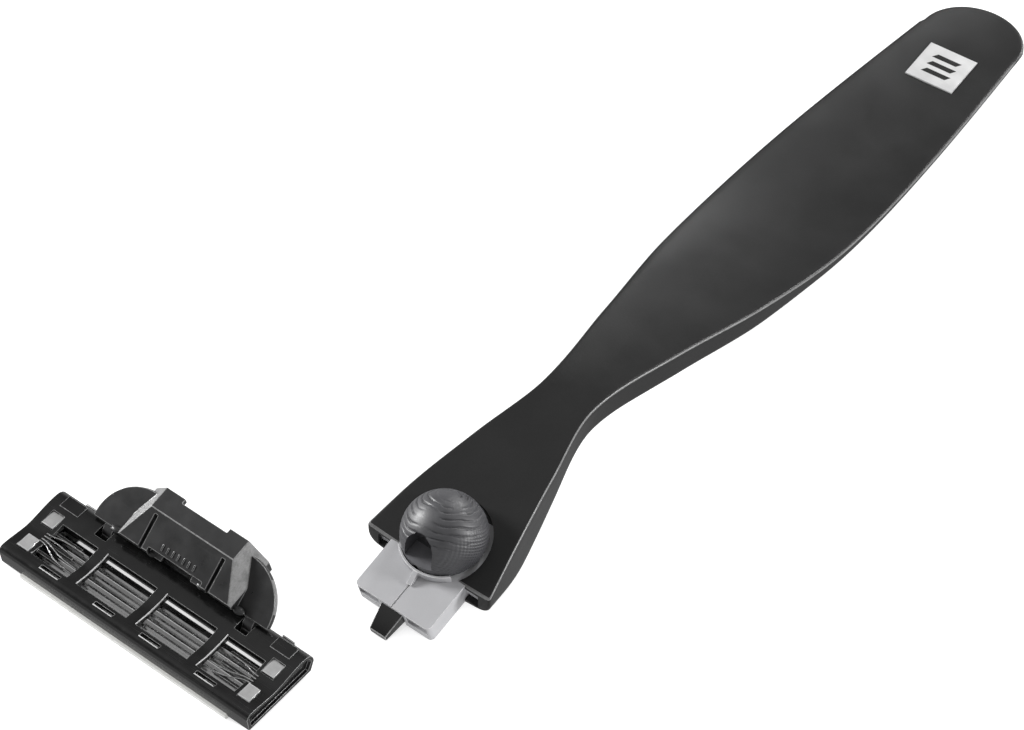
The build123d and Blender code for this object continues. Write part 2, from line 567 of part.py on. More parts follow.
PARTS = {
    "handle_body": handle_body,
    "label_plate": label_plate,
    "connector": connector,
    "thumb_button": thumb_button,
    "ejector_fork": ejector_fork,
    "button_spring": button_spring,
    "plunger": plunger,
    "plunger_spring": plunger_spring,
    "yoke": yoke,
    "blade_housing": housing,
    "blade_1": lambda: blade(BLADE_Y[0]),
    "blade_2": lambda: blade(BLADE_Y[1]),
    "blade_3": lambda: blade(BLADE_Y[2]),
    "blade_support_1": lambda: blade_support(BLADE_Y[0]),
    "blade_support_2": lambda: blade_support(BLADE_Y[1]),
    "blade_support_3": lambda: blade_support(BLADE_Y[2]),
    "clip_right": lambda: Pos(CART_X + CLIP_X, 0, 0) * clip(),
    "clip_left": lambda: Pos(CART_X - CLIP_X, 0, 0) * mirror(clip(), Plane.YZ),
    "rubber_guard": rubber_guard,
    "lubricating_strip": lubricating_strip,
}

os.makedirs("parts", exist_ok=True)
for name, make in PARTS.items():
    solid = Pos(HEAD_X, HEAD_Y, HEAD_Z) * make()
    box = solid.bounding_box()
    print(name, len(solid.solids()), "solid", round(solid.volume, 2), "mm3",
          [round(v, 2) for v in (*box.min, *box.max)])
    export_step(solid, f"parts/{name}.step")
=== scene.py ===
"""Looks of the unclipped cartridge razor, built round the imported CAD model. Metres, in the row frame.

Lengths below are in millimetres from the head datum (top edge of the head's front face, on the handle's
centre line), the point that part.py builds from; at() turns them into the row frame.
"""
import json
import math

import bmesh
import bpy
from mathutils import Matrix, Vector, noise


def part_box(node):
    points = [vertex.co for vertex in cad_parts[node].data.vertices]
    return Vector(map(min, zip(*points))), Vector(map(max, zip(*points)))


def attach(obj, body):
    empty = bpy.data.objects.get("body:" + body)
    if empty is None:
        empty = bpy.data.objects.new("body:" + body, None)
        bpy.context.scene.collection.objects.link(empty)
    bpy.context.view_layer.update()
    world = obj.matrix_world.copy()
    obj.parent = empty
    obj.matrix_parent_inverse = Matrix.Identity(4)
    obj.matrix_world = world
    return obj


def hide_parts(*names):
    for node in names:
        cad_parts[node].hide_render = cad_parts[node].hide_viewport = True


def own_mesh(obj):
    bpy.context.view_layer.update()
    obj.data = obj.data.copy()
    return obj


MM = 0.001

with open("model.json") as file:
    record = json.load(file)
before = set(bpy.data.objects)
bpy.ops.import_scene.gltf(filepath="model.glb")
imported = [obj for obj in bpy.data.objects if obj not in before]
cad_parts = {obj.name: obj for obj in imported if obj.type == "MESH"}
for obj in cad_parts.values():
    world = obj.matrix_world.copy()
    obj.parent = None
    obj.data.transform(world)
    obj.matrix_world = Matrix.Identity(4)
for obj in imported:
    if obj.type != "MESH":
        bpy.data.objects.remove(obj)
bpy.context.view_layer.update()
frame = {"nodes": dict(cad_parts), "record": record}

handle_low, handle_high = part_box("handle_body")
TABLE_BELOW_HEAD = 5.5
HEAD = Vector(((handle_low.x + handle_high.x) / 2, handle_low.y, TABLE_BELOW_HEAD * MM))

# ---------------------------------------------------------------- dimensions shared with the CAD
HALF_WIDTH = [(0, 10.25), (8, 8.65), (18, 6.5), (29.5, 4.3), (46, 6.6),
              (62, 9.3), (80, 10.7), (101, 10.15), (136, 7.3)]
TOP_Z = [(0, 0.2), (8, 2.9), (18, 4.9), (28.5, 6.3), (40, 5.45),
         (60, 2.35), (78, -0.3), (100, -1.2), (136, -1.7)]
WALL = [(0, 2.9), (7.5, 6.7), (13, 6.5), (23.5, 4.2), (40, 4.15),
        (59, 3.4), (73, 1.9), (95, 1.1), (136, 0.8)]
BELLY_Z = [(0, -3.9), (7, -4.87), (17.9, -2.7), (29.5, 0.7), (46, -1.3),
           (66, -3.6), (90, -4.9), (114, -5.4), (136, -3.4)]
TOP_HOLLOW = [(0, 0.03), (30, 0.03), (60, 0.055), (100, 0.055), (136, 0.05)]
MIN_BOW = 0.3
HANDLE_LENGTH = 134.9
NOSE_RADIUS = 8.1
NOSE_X = 0.25
LABEL_Y = 119.6
LABEL_TURN = math.radians(4.0)
LABEL_SIDE = 7.9
LABEL_TOP_Z = -1.70
LABEL_FLOOR_Z = -2.20

AXIS_TILT = math.radians(12.8)
CONN_TOP_Z = -0.10
DOME_A, DOME_N, DOME_R = 4.0, 1.86, 5.8
DOME_FLOOR_N = 0.75
SCOOP_HALF_W, SCOOP_FLOOR_N, SCOOP_SPRING_N, SCOOP_END_A = 2.2, 2.3, 4.4, 2.3
WELL_R = 6.3
CART_X = -24.7


def at(x, y, z):
    """Point in the row frame of a point given in millimetres from the head datum."""
    return HEAD + Vector((x, y, z)) * MM


DOCK = Matrix((
    (1, 0, 0, HEAD.x),
    (0, math.cos(AXIS_TILT), -math.sin(AXIS_TILT), HEAD.y),
    (0, math.sin(AXIS_TILT), math.cos(AXIS_TILT), HEAD.z + CONN_TOP_Z * MM),
    (0, 0, 0, 1),
))


def dock(x, a, n):
    """Point of the docking head: x across, a back along the docking axis, n out of the connector's top."""
    return DOCK @ (Vector((x, a, n)) * MM)


def smooth(table, y):
    """Value at y on a smooth curve through the (y, value) pairs of a table."""
    last = len(table) - 1
    i = min(max(sum(1 for row in table if row[0] <= y) - 1, 0), last - 1)
    y0, v0 = table[i]
    y1, v1 = table[i + 1]
    before = table[max(i - 1, 0)]
    after = table[min(i + 2, last)]
    m0 = (v1 - before[1]) / (y1 - before[0]) * (y1 - y0)
    m1 = (after[1] - v0) / (after[0] - y0) * (y1 - y0)
    t = (y - y0) / (y1 - y0)
    keep0 = 2 * t**3 - 3 * t**2 + 1
    keep1 = 3 * t**2 - 2 * t**3
    return keep0 * v0 + (t**3 - 2 * t**2 + t) * m0 + keep1 * v1 + (t**3 - t**2) * m1


# ---------------------------------------------------------------- materials
SCRATCH_TURN = (0.2, 0.1, 0.6)            # which way the scratches run, as an Euler turn in radians
SCRATCH_SCALE = (0.12, 7.0, 7.0)          # long and thin: cycles per millimetre along and across a scratch
PITS_PER_MM = 4.5
COAT_ROUGHNESS = 0.1


def add(tree, kind, inputs=None, **settings):
    """New shader node; inputs maps a socket's name or number to a value or to another node's output."""
    made = tree.nodes.new(kind)
    for key, value in settings.items():
        setattr(made, key, value)
    for key, value in (inputs or {}).items():
        if isinstance(value, bpy.types.NodeSocket):
            tree.links.new(value, made.inputs[key])
        else:
            made.inputs[key].default_value = value
    return made


def rgb(level, tint=(1.0, 1.0, 1.0)):
    return (level * tint[0], level * tint[1], level * tint[2], 1.0)


def surface(name, level, rough, tint=(1, 1, 1), metallic=0.0, specular=0.5, coat=0.0, grain=0.16,
            depth=0.004, stretch=(1, 1, 1), blotch=5.0, vary=0.15, rough_vary=0.06, scratch=0.0, speck=0.0):
    """Moulded or brushed surface: fine grain in the bump, slow variation in colour and roughness, fine
    scratches, pits. grain, depth and blotch are in millimetres, the rest are shares."""
    material = bpy.data.materials.new(name)
    material.use_nodes = True
    tree = material.node_tree
    shader = tree.nodes["Principled BSDF"]
    where = add(tree, "ShaderNodeTexCoord").outputs["Object"]
    mm = add(tree, "ShaderNodeMapping", {"Vector": where, "Scale": (1 / MM, 1 / MM, 1 / MM)}).outputs[0]
    drawn = add(tree, "ShaderNodeMapping", {"Vector": mm, "Scale": stretch}).outputs[0]
    fine = add(tree, "ShaderNodeTexNoise", {"Vector": drawn, "Scale": 1 / grain, "Detail": 3.0,
                                            "Roughness": 0.6}).outputs[0]
    slow = add(tree, "ShaderNodeTexNoise", {"Vector": mm, "Scale": 1 / blotch, "Detail": 4.0,
                                            "Roughness": 0.55}).outputs[0]
    # colour
    dark = rgb(level * (1 - vary), tint)
    light = rgb(level * (1 + vary), tint)
    colour = add(tree, "ShaderNodeMix", {0: slow, 6: dark, 7: light}, data_type="RGBA").outputs[2]
    mottle = add(tree, "ShaderNodeMapRange", {0: fine, 1: 0.3, 2: 0.7, 3: 1 - vary / 2, 4: 1 + vary / 2})
    colour = add(tree, "ShaderNodeMix", {0: 1.0, 6: colour, 7: mottle.outputs[0]}, data_type="RGBA",
                 blend_type="MULTIPLY").outputs[2]
    tree.links.new(colour, shader.inputs["Base Color"])
    # roughness
    uneven = add(tree, "ShaderNodeMapRange", {0: slow, 1: 0.3, 2: 0.7, 3: rough - rough_vary,
                                              4: rough + rough_vary}).outputs[0]
    height = fine
    if scratch:
        across = add(tree, "ShaderNodeMapping", {"Vector": mm, "Rotation": SCRATCH_TURN,
                                                 "Scale": SCRATCH_SCALE}).outputs[0]
        lines = add(tree, "ShaderNodeTexNoise", {"Vector": across, "Scale": 1.0, "Detail": 2.0}).outputs[0]
        lines = add(tree, "ShaderNodeMapRange", {0: lines, 1: 0.66, 2: 0.72, 3: 0.0, 4: scratch}).outputs[0]
        uneven = add(tree, "ShaderNodeMath", {0: uneven, 1: lines}, operation="ADD",
                     use_clamp=True).outputs[0]
        height = add(tree, "ShaderNodeMath", {0: fine, 1: lines}, operation="SUBTRACT").outputs[0]
    if speck:
        cells = add(tree, "ShaderNodeTexVoronoi", {"Vector": mm, "Scale": PITS_PER_MM}).outputs["Distance"]
        pits = add(tree, "ShaderNodeMapRange", {0: cells, 1: 0.0, 2: 0.25, 3: -speck, 4: 0.0}).outputs[0]
        height = add(tree, "ShaderNodeMath", {0: height, 1: pits}, operation="ADD").outputs[0]
    tree.links.new(uneven, shader.inputs["Roughness"])
    bump = add(tree, "ShaderNodeBump", {"Height": height, "Strength": 1.0, "Distance": depth * MM})
    tree.links.new(bump.outputs[0], shader.inputs["Normal"])
    shader.inputs["Metallic"].default_value = metallic
    shader.inputs["Specular IOR Level"].default_value = specular
    shader.inputs["Coat Weight"].default_value = coat
    shader.inputs["Coat Roughness"].default_value = COAT_ROUGHNESS
    return material


FINISH = {
    "handle_black": surface("handle_black", 0.017, 0.33, grain=0.22, depth=0.008, blotch=9.0, vary=0.12,
                            rough_vary=0.05, scratch=0.08, specular=0.24),
    "label_silver": surface("label_silver", 0.56, 0.38, metallic=0.35, grain=0.07, depth=0.004,
                            stretch=(0.05, 1, 1), blotch=2.0, vary=0.08),
    "connector_grey": surface("connector_grey", 0.44, 0.40, tint=(1.0, 1.0, 1.03), grain=0.10, depth=0.006,
                              blotch=3.0, vary=0.06, rough_vary=0.05, scratch=0.10, specular=0.5),
    "button_grey": surface("button_grey", 0.040, 0.50, tint=(0.97, 0.97, 1.08), grain=0.11, depth=0.016,
                           blotch=1.6, vary=0.22, rough_vary=0.08, specular=0.85),
    "plunger_black": surface("plunger_black", 0.005, 0.14, grain=0.25, depth=0.002, blotch=1.2,
                             vary=0.2, rough_vary=0.05, scratch=0.1, coat=0.3),
    "spring_steel": surface("spring_steel", 0.55, 0.25, metallic=1.0, grain=0.05, depth=0.002,
                            stretch=(1, 0.1, 1), blotch=0.8, vary=0.15),
    "yoke_black": surface("yoke_black", 0.022, 0.34, tint=(1.0, 1.0, 1.02), grain=0.14, depth=0.006,
                          blotch=2.5, vary=0.2, rough_vary=0.07, scratch=0.12),
    "housing_black": surface("housing_black", 0.006, 0.22, grain=0.18, depth=0.004, blotch=1.8,
                             vary=0.25, rough_vary=0.07, scratch=0.15, coat=0.1),
    "blade_steel": surface("blade_steel", 0.62, 0.26, metallic=1.0, grain=0.05, depth=0.002,
                           stretch=(1, 0.04, 1), blotch=1.0, vary=0.10, rough_vary=0.06),
    "support_steel": surface("support_steel", 0.56, 0.27, metallic=1.0, grain=0.05, depth=0.003,
                             stretch=(0.04, 1, 1), blotch=1.5, vary=0.16, rough_vary=0.08, scratch=0.2),
    "clip_aluminium": surface("clip_aluminium", 0.44, 0.36, metallic=0.5, grain=0.08, depth=0.008,
                              stretch=(1, 0.15, 1), blotch=0.7, vary=0.14, rough_vary=0.08, scratch=0.25),
    "guard_rubber": surface("guard_rubber", 0.020, 0.62, grain=0.10, depth=0.012, blotch=1.5, vary=0.2,
                            speck=0.3),
    "lube_pale": surface("lube_pale", 0.72, 0.42, tint=(1.0, 1.0, 0.97), grain=0.14, depth=0.008,
                         blotch=1.2, vary=0.06, rough_vary=0.08, specular=0.4),
}
# rounded edges get a paler, smoother finish than the faces beside them: a painted highlight along the edges
PAINTED_EDGE_HIGHLIGHT = {
    "handle_black": surface("handle_black_painted_highlight", 0.17, 0.30, grain=0.2, blotch=2.0, vary=0.35),
    "connector_grey": surface("connector_grey_painted_highlight", 0.72, 0.28, blotch=1.0, vary=0.10, depth=0.002),
    "plunger_black": surface("plunger_black_painted_highlight", 0.30, 0.22, blotch=0.6, vary=0.5, depth=0.002),
    "yoke_black": surface("yoke_black_painted_highlight", 0.22, 0.28, blotch=0.8, vary=0.6, depth=0.003),
    "housing_black": surface("housing_black_painted_highlight", 0.20, 0.24, blotch=0.7, vary=0.8, depth=0.003),
    "clip_aluminium": surface("clip_aluminium_painted_highlight", 0.82, 0.22, metallic=0.5, blotch=0.5, vary=0.10,
                              depth=0.002),
}
BODY_OF = {}
for body_name, members in frame["record"]["behaviour"]["bodies"].items():
    for member in members:
        BODY_OF[member] = body_name
SLOT_OF = {
    "handle_body": "handle_black", "label_plate": "label_silver", "connector": "connector_grey",
    "ejector_fork": "connector_grey", "thumb_button": "button_grey", "button_spring": "spring_steel",
    "plunger": "plunger_black", "plunger_spring": "spring_steel", "yoke": "yoke_black",
    "blade_housing": "housing_black", "clip_left": "clip_aluminium", "clip_right": "clip_aluminium",
    "rubber_guard": "guard_rubber", "lubricating_strip": "lube_pale",
}
for number in (1, 2, 3):
    SLOT_OF[f"blade_{number}"] = "blade_steel"
    SLOT_OF[f"blade_support_{number}"] = "support_steel"


# ---------------------------------------------------------------- mesh helpers
def placed(name, data):
    """New object in the scene that shows the data."""
    made = bpy.data.objects.new(name, data)
    bpy.context.scene.collection.objects.link(made)
    return made


def mesh_object(name, verts, faces):
    mesh = bpy.data.meshes.new(name)
    mesh.from_pydata([tuple(v) for v in verts], [], faces)
    mesh.validate()
    return placed(name, mesh)


def bmesh_object(name, work):
    mesh = bpy.data.meshes.new(name)
    work.to_mesh(mesh)
    work.free()
    return placed(name, mesh)


def baked(source, name):
    """The mesh that an object's modifiers make, as a new mesh."""
    bpy.context.view_layer.update()
    shape = source.evaluated_get(bpy.context.evaluated_depsgraph_get())
    mesh = bpy.data.meshes.new_from_object(shape)
    mesh.name = name
    return mesh


SEAM = 2e-7                   # metres: points closer than this are one
CAD_SEAM = 1e-6


def tidy(mesh, sharp=32.0):
    """Closes seams, faces outward, shades smooth with sharp edges kept."""
    work = bmesh.new()
    work.from_mesh(mesh)
    bmesh.ops.remove_doubles(work, verts=work.verts, dist=SEAM)
    bmesh.ops.recalc_face_normals(work, faces=work.faces)
    for face in work.faces:
        face.smooth = True
    work.to_mesh(mesh)
    work.free()
    mesh.set_sharp_from_angle(angle=math.radians(sharp))


def cut_away(body, cutters):
    """Subtracts the cutter objects from body and removes them."""
    for cutter in cutters:
        modifier = body.modifiers.new("cut", "BOOLEAN")
        modifier.operation = "DIFFERENCE"
        modifier.solver = "EXACT"
        modifier.object = cutter
    mesh = baked(body, body.name)
    body.modifiers.clear()
    body.data = mesh
    for cutter in cutters:
        bpy.data.objects.remove(cutter)


def dress(made, body, slot, *stands_for):
    """Gives a new piece its finish, its body and the CAD nodes that it stands for."""
    finish_of_face = [face.material_index for face in made.data.polygons]
    made.data.materials.clear()
    made.data.materials.append(FINISH[slot])
    # the second finish is the paler one that paints a highlight on rounded edges
    made.data.materials.append(PAINTED_EDGE_HIGHLIGHT.get(slot, FINISH[slot]))
    made.data.polygons.foreach_set("material_index", finish_of_face)
    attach(made, body)
    if stands_for:
        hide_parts(*stands_for)
    return made


def rounded(made, width, **settings):
    """Rounds the sharp edges over by width; the new faces take the second finish, the paler one that paints
    a highlight on the edges.
    """
    mesh = made.data
    mesh.materials.clear()
    for _ in range(2):
        mesh.materials.append(FINISH["handle_black"])
    mesh.polygons.foreach_set("material_index", [0] * len(mesh.polygons))
    modifier = made.modifiers.new("round", "BEVEL")
    modifier.width = width * MM
    modifier.limit_method = "ANGLE"
    modifier.material = 1
    for key, value in settings.items():
        setattr(modifier, key, value)
    made.data = baked(made, made.name)
    made.modifiers.clear()


def even_shading(made):
    """Large flat faces keep their own normal, so only the rounded edges shade across."""
    modifier = made.modifiers.new("normals", "WEIGHTED_NORMAL")
    modifier.keep_sharp = True
    modifier.weight = 100


def prism(name, outline, low, high, place):
    """Closed outline of (u, v) points, extruded from low to high; place(u, v, w) gives the row frame."""
    count = len(outline)
    verts = [place(u, v, low) for u, v in outline] + [place(u, v, high) for u, v in outline]
    faces = [list(range(count))[::-1], list(range(count, 2 * count))]
    faces += [[i, (i + 1) % count, count + (i + 1) % count, count + i] for i in range(count)]
    made = mesh_object(name, verts, faces)
    tidy(made.data)
    return made


def rectangle(u, v):
    return [(u[0], v[0]), (u[1], v[0]), (u[1], v[1]), (u[0], v[1])]


SOFTEN_ANGLE = math.radians(28.0)
SOFTEN_SHARP = 34.0


def soften(node, width, segments=2, clamp=True):
    """Copy of a CAD node with its sharp edges rounded over; it stands for the node."""
    mesh = frame["nodes"][node].data.copy()
    made = placed(node + "_finished", mesh)
    work = bmesh.new()
    work.from_mesh(mesh)
    bmesh.ops.remove_doubles(work, verts=work.verts, dist=CAD_SEAM)
    bmesh.ops.dissolve_limit(work, angle_limit=math.radians(1.0), verts=work.verts, edges=work.edges)
    bmesh.ops.recalc_face_normals(work, faces=work.faces)
    work.to_mesh(mesh)
    work.free()
    rounded(made, width, segments=segments, angle_limit=SOFTEN_ANGLE, use_clamp_overlap=clamp,
            miter_outer="MITER_ARC")
    tidy(made.data, SOFTEN_SHARP)
    even_shading(made)
    return dress(made, BODY_OF[node], SLOT_OF[node], node)


# ---------------------------------------------------------------- handle
TOP_EDGE_R = 0.42
LOW_EDGE_R = 0.55
HEAD_ROUND_EXTRA = 1.1
HEAD_ROUND_LENGTH = 18.0
FRONT_EDGE_R = 0.40
ACROSS = 14                   # points over the top and over the underside, from the middle to a side
ROUND = 6                     # points round an edge
UP = 5                        # points up a side wall
ALONG = 128                   # sections from the head to the nose
TURNS = 40                    # half profiles round the nose
MIN_WALL = 0.05
SHIFT_FROM = 90               # the far end leans to one side from here to the nose's centre, by NOSE_X


class Section:
    """Section of the handle at y, drawn in by inset all round."""

    def __init__(self, y, inset=0.0):
        self.half = smooth(HALF_WIDTH, y) - inset
        self.top = smooth(TOP_Z, y) - inset
        self.side = smooth(TOP_Z, y) - smooth(WALL, y)
        self.belly = min(smooth(BELLY_Z, y), self.side - MIN_BOW) + inset
        self.sag = smooth(TOP_HOLLOW, y) * self.half

    def top_z(self, x):
        return self.top - self.sag * (1 - min(abs(x) / self.half, 1) ** 2)

    def low_z(self, x):
        """Arc through both side walls' feet and the underside's lowest point."""
        sag = self.side - self.belly
        radius = (self.half**2 + sag**2) / (2 * sag)
        return self.belly + radius - math.sqrt(max(radius**2 - min(abs(x), self.half) ** 2, 0))


def bend(start, corner, end, steps):
    """Points of a quadratic curve, both ends included."""
    points = []
    for i in range(steps + 1):
        t = i / steps
        first, second, third = (1 - t) ** 2, 2 * t * (1 - t), t**2
        points.append([first * s + second * c + third * e for s, c, e in zip(start, corner, end)])
    return points


def low_edge_radius(y):
    """The lower edge is much rounder at the head than along the handle."""
    near = max(0.0, 1 - y / HEAD_ROUND_LENGTH)
    return LOW_EDGE_R + HEAD_ROUND_EXTRA * near**2


def half_profile(place, reach):
    """Points from the middle of the top over a side to the middle of the underside. place(r) gives the
    plan position and its section at distance r from the middle; reach is the side's distance."""
    def top(r):
        x, y, section = place(r)
        return [x, y, section.top_z(x)]

    def low(r):
        x, y, section = place(r)
        return [x, y, section.low_z(x)]

    low_r = low_edge_radius(place(reach)[1])
    inner_top, inner_low = reach - TOP_EDGE_R, reach - low_r
    crown, foot = top(reach), low(reach)
    points = [top(inner_top * i / ACROSS) for i in range(ACROSS)]
    wall_top = [crown[0], crown[1], crown[2] - TOP_EDGE_R]
    wall_low = [foot[0], foot[1], min(foot[2] + low_r, crown[2] - TOP_EDGE_R - MIN_WALL)]
    points += bend(top(inner_top), crown, wall_top, ROUND)
    for i in range(1, UP):
        points.append([a + (b - a) * i / UP for a, b in zip(wall_top, wall_low)])
    points += bend(wall_low, foot, low(inner_low), ROUND)
    points += [low(inner_low * (1 - i / ACROSS)) for i in range(1, ACROSS + 1)]
    return points


def handle_mesh():
    nose_y = HANDLE_LENGTH - NOSE_RADIUS
    stations = []
    for i in range(ROUND):
        turn = math.pi / 2 * i / ROUND
        stations.append((FRONT_EDGE_R * (1 - math.cos(turn)), FRONT_EDGE_R * (1 - math.sin(turn))))
    stations += [(FRONT_EDGE_R + (nose_y - FRONT_EDGE_R) * i / ALONG, 0.0) for i in range(ALONG + 1)]
    verts, faces, rings = [], [], []
    for y, inset in stations:
        section = Section(y, inset)
        middle = NOSE_X * max(0.0, (y - SHIFT_FROM) / (nose_y - SHIFT_FROM)) ** 2
        halves = []
        for way in (1, -1):
            reach = section.half - way * middle
            if y > nose_y - 0.01:
                reach = min(reach, NOSE_RADIUS)
            halves.append(half_profile(lambda r: (middle + way * r, y, section), reach))
        ring = halves[0] + halves[1][-2:0:-1]
        rings.append([len(verts) + i for i in range(len(ring))])
        verts += ring
    size = len(rings[0])
    faces.append(rings[0])
    for near, far in zip(rings, rings[1:]):
        faces += [[near[i], far[i], far[(i + 1) % size], near[(i + 1) % size]] for i in range(size)]
    # the nose: the same half profile turned about the nose's centre from one side to the other
    last = rings[-1]
    depth = size // 2
    right = last[:depth + 1]
    left = [last[0]] + last[:depth - 1:-1]
    columns = [right]
    for j in range(1, TURNS):
        angle = math.pi * j / TURNS

        def place(r):
            y = nose_y + r * math.sin(angle)
            section = Section(y)
            x = NOSE_X + r * math.cos(angle)
            return max(-section.half, min(section.half, x)), y, section

        profile = half_profile(place, NOSE_RADIUS)
        column = [right[0]]
        for point in profile[1:-1]:
            column.append(len(verts))
            verts.append(point)
        column.append(right[-1])
        columns.append(column)
    columns.append(left)
    for one, two in zip(columns, columns[1:]):
        for i in range(depth):
            quad = [one[i], two[i], two[i + 1], one[i + 1]]
            faces.append(list(dict.fromkeys(quad)))
    made = mesh_object("handle_shell", [at(*v) for v in verts], faces)
    work = bmesh.new()
    work.from_mesh(made.data)
    bmesh.ops.recalc_face_normals(work, faces=work.faces)
    work.to_mesh(made.data)
    work.free()
    return made


def disc_outline(radius, count, centre=(0, 0)):
    steps = [2 * math.pi * i / count for i in range(count)]
    return [(centre[0] + radius * math.cos(t), centre[1] + radius * math.sin(t)) for t in steps]


# hollows in the head, in the dock's frame: half width, (from, to) along the axis, (from, to) in height
FAR = 30.0
SKIN = 0.001                  # how far the well reaches into the pocket, so that the two join
POCKET = (6.2, (-FAR, 9.05), (-3.25, 0.0))
FLANGE_SEAT = (8.35, (-FAR, 1.15), (-2.55, -0.45))
BARB_SEAT = (6.55, (6.55, 7.65), (-2.05, -0.95))
HIGHLIGHT_FROM, HIGHLIGHT_TO = 0.30, 0.90       # upward parts of the normals of the rounded upper edge that takes the painted highlight


def hollow(name, half, along, height):
    return prism(name, rectangle((-half, half), along), *height, dock)


handle = handle_mesh()
pocket = hollow("cut_pocket", *POCKET)
flange = hollow("cut_flange", *FLANGE_SEAT)
barb = hollow("cut_barb", *BARB_SEAT)
well = prism("cut_well", disc_outline(WELL_R, 96, (0, DOME_A)), -SKIN, FAR, dock)
cos_t, sin_t = math.cos(LABEL_TURN), math.sin(LABEL_TURN)


def on_label(u, v, w):
    return at(u * cos_t - v * sin_t, LABEL_Y + u * sin_t + v * cos_t, w)


half_label = LABEL_SIDE / 2
seat = prism("cut_seat", rectangle((-half_label, half_label), (-half_label, half_label)),
             LABEL_FLOOR_Z, FAR, on_label)
cut_away(handle, [pocket, flange, barb, well, seat])
tidy(handle.data, 30)
# faces on the rounded upper edge take the paler finish: a painted highlight along the top edge
for face in handle.data.polygons:
    face.material_index = 1 if HIGHLIGHT_FROM < face.normal.z < HIGHLIGHT_TO else 0
dress(handle, "handle", "handle_black", "handle_body")

# ---------------------------------------------------------------- thumb button
GROOVE_PITCH = 0.98
GROOVE_DEPTH = 0.17
WEAVE_PITCH = 0.60
WEAVE_DEPTH = 0.06
GROOVE_POLE = Vector((-0.12, 0.66, 0.74)).normalized()


def ball_mesh():
    """Ball with worn, wandering grooves round a pole at its back; the rounded arch in its front is cut
    afterwards.
    """
    work = bmesh.new()
    bmesh.ops.create_icosphere(work, subdivisions=7, radius=1.0)
    for vert in work.verts:
        way = vert.co.normalized()
        wander = noise.noise(way * 1.9) * 0.40 + noise.noise(way * 5.0 + Vector((3, 1, 7))) * 0.09
        away = math.acos(max(-1, min(1, way.dot(GROOVE_POLE)))) * DOME_R + wander
        wave = math.cos(2 * math.pi * away / GROOVE_PITCH)
        ridge = -max(0.0, wave) ** 3
        fade = max(0.0, min(1.0, (way.z + 0.25 + way.y * 0.45) / 0.75))
        patchy = max(0.0, min(1.0, 0.75 + noise.noise(way * 2.6 + Vector((9, 2, 4))) * 1.7))
        right_side = max(0.0, min(1.0, (way.x - 0.25) / 0.4)) * max(0.0, min(1.0, (0.75 - way.z) / 0.4))
        weave = math.sin(way.y * DOME_R * 2 * math.pi / WEAVE_PITCH + 2 * way.z)
        weave *= math.sin(way.z * DOME_R * 2 * math.pi / WEAVE_PITCH + 3 * way.x)
        radius = DOME_R + GROOVE_DEPTH * ridge * fade * patchy * (1 - right_side)
        radius += WEAVE_DEPTH * weave * right_side
        vert.co = dock(way.x * radius, DOME_A + way.y * radius, DOME_N + way.z * radius)
    return bmesh_object("thumb_ball", work)


def arch_outline(half, floor, spring):
    """Flat floor, upright sides and a half-round top."""
    steps = [math.pi * i / 16 for i in range(17)]
    arch = [(half * math.cos(t), spring + half * math.sin(t)) for t in steps]
    return [(-half, floor), (half, floor)] + arch


SCOOP_END_R = 1.2
SCOOP_REACH = 12.0


def arch_cutter():
    """Arched hollow whose inner end is rounded over."""
    straight_to = SCOOP_END_A - SCOOP_END_R
    rings = [(-SCOOP_REACH, 1.0), (straight_to, 1.0)]
    rings += [(straight_to + SCOOP_END_R * math.sin(t), math.cos(t)) for t in (0.35, 0.7, 1.0, 1.25, 1.45)]
    outline = arch_outline(SCOOP_HALF_W, SCOOP_FLOOR_N, SCOOP_SPRING_N)
    middle = (SCOOP_FLOOR_N + SCOOP_SPRING_N) / 2
    verts, faces = [], []
    size = len(outline)
    for a, share in rings:
        for u, v in outline:
            verts.append(dock(u * share, a, max(middle + (v - middle) * share, SCOOP_FLOOR_N)))
    for k in range(len(rings) - 1):
        for i in range(size):
            j = (i + 1) % size
            faces.append([k * size + i, k * size + j, (k + 1) * size + j, (k + 1) * size + i])
    faces.append(list(range(size))[::-1])
    faces.append([(len(rings) - 1) * size + i for i in range(size)])
    made = mesh_object("cut_arch", verts, faces)
    tidy(made.data)
    return made


TUNNEL_R, TUNNEL_N, TUNNEL_END_A = 0.75, 1.25, 6.2
POST_PATH = (0.4, (-FAR, 3.25), (-1.0, TUNNEL_N))
PEG_HOLE = (1.2, (6.8, 7.8), (-1.0, 2.2))

ball = ball_mesh()
below = hollow("cut_below", FAR, (-FAR, FAR), (-FAR, DOME_FLOOR_N))
tunnel = prism("cut_tunnel", disc_outline(TUNNEL_R, 32, (0, TUNNEL_N)), -FAR, TUNNEL_END_A,
               lambda u, v, w: dock(u, w, v))
post_path = hollow("cut_post", *POST_PATH)
peg_hole = hollow("cut_peg", *PEG_HOLE)
cut_away(ball, [arch_cutter(), below, tunnel, post_path, peg_hole])
tidy(ball.data, 38)
dress(ball, "button", "button_grey", "thumb_button")


def recolour(made, finish, chosen):
    """Faces for which chosen(middle, normal) holds take another finish."""
    made.data.materials.append(finish)
    index = len(made.data.materials) - 1
    for face in made.data.polygons:
        if chosen(face.center, face.normal):
            face.material_index = index


to_dock = DOCK.inverted()
# the arch's floor is painted paler than the rest of the button: painted light on a floor that lies in the
# arch's shade
SCOOP_FLOOR_PAINTED_LIGHT = surface("scoop_floor_painted_light", 0.13, 0.36, tint=(0.98, 0.98, 1.05), grain=0.11, depth=0.010,
                      blotch=1.2, vary=0.2)


def on_scoop_floor(middle, normal):
    spot = to_dock @ middle / MM
    return normal.z > 0.9 and spot.y < SCOOP_END_A and abs(spot.z - SCOOP_FLOOR_N) < 0.02


recolour(ball, SCOOP_FLOOR_PAINTED_LIGHT, on_scoop_floor)

